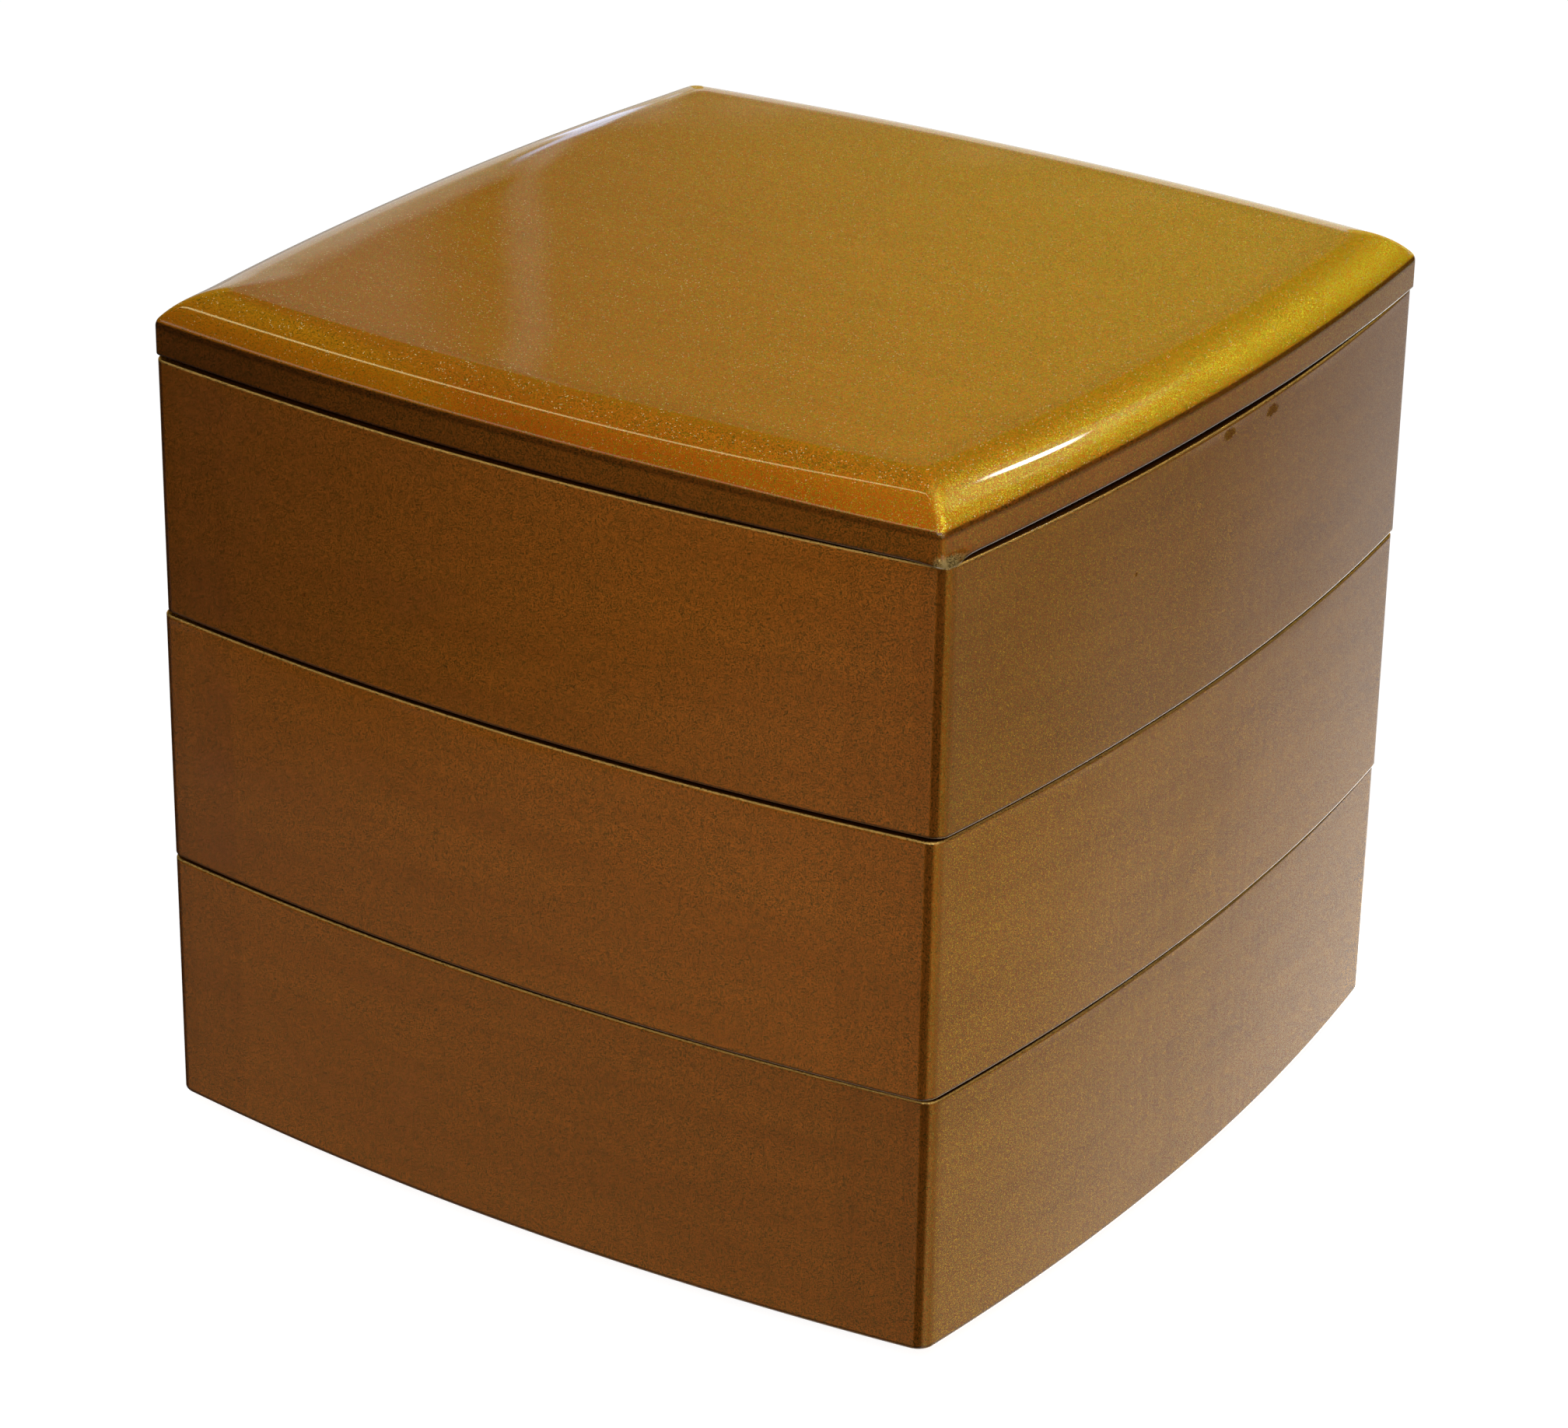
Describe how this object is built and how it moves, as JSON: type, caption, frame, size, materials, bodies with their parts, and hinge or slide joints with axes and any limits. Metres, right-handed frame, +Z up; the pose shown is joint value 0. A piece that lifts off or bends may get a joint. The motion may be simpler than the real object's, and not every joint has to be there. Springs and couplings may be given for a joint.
{
  "type": "tiered food box",
  "caption": "Square stacking food box with bowed sides: lacquered trays that nest on inset feet, under a lift-off lid with a rounded shoulder and a flat top.",
  "frame": {"origin": "centre of the underside of the lowest tray's foot, on the surface that the box stands on", "axes": "+Z up through the middle of the stack; -Y is the front, the face on the left in the picture; +X is the face on the right"},
  "size_m": [0.1952, 0.1952, 0.1788],
  "materials": {
    "tier_lacquer": "glossy transparent brown lacquer over gold powder",
    "lid_lacquer": "glossy transparent amber lacquer over gold powder"
  },
  "bodies": {
    "root": {"bottom_tier": "tier_lacquer", "middle_tier": "tier_lacquer", "top_tier": "tier_lacquer", "lid": "lid_lacquer"}
  },
  "joints": []
}
